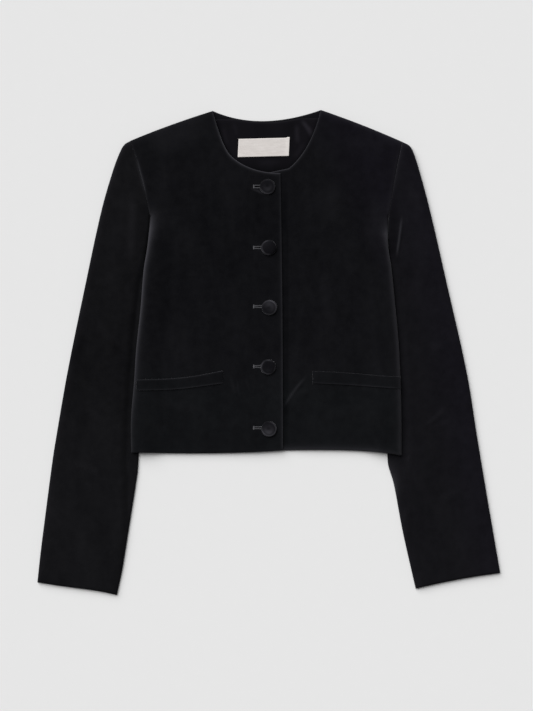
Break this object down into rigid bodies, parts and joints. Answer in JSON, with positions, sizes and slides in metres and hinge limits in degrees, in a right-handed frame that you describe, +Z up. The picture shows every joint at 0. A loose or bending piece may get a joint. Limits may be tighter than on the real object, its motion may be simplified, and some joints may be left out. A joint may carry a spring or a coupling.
{
  "type": "cropped jacket",
  "caption": "Cropped black velvet jacket with a round neck, covered buttons and narrow pocket welts, buttoned up and laid flat on its back.",
  "frame": {"origin": "middle of the garment's outline, on the surface that it lies on", "axes": "+Z up from the surface, +Y up the garment to the neck, +X to the wearer's left"},
  "size_m": [0.6477, 0.6788, 0.0136],
  "materials": {
    "body_velvet": "black cotton velvet, short pile, bright at the folds",
    "sleeve_velvet": "black cotton velvet, short pile, bright at the folds",
    "welt_velvet": "black cotton velvet, short pile",
    "button_velvet": "black velvet stretched over a domed button",
    "facing_cloth": "black woven facing, low sheen",
    "label_tape": "cream woven tape, bare"
  },
  "bodies": {
    "root": {"back": "body_velvet", "front_right": "body_velvet", "front_left": "body_velvet", "sleeve_right_upper": "sleeve_velvet", "sleeve_right_under": "sleeve_velvet", "sleeve_left_upper": "sleeve_velvet", "sleeve_left_under": "sleeve_velvet", "welt_right": "welt_velvet", "welt_left": "welt_velvet", "back_neck_facing": "facing_cloth", "neck_label": "label_tape", "button_1": "button_velvet", "button_2": "button_velvet", "button_3": "button_velvet", "button_4": "button_velvet", "button_5": "button_velvet"}
  },
  "joints": []
}
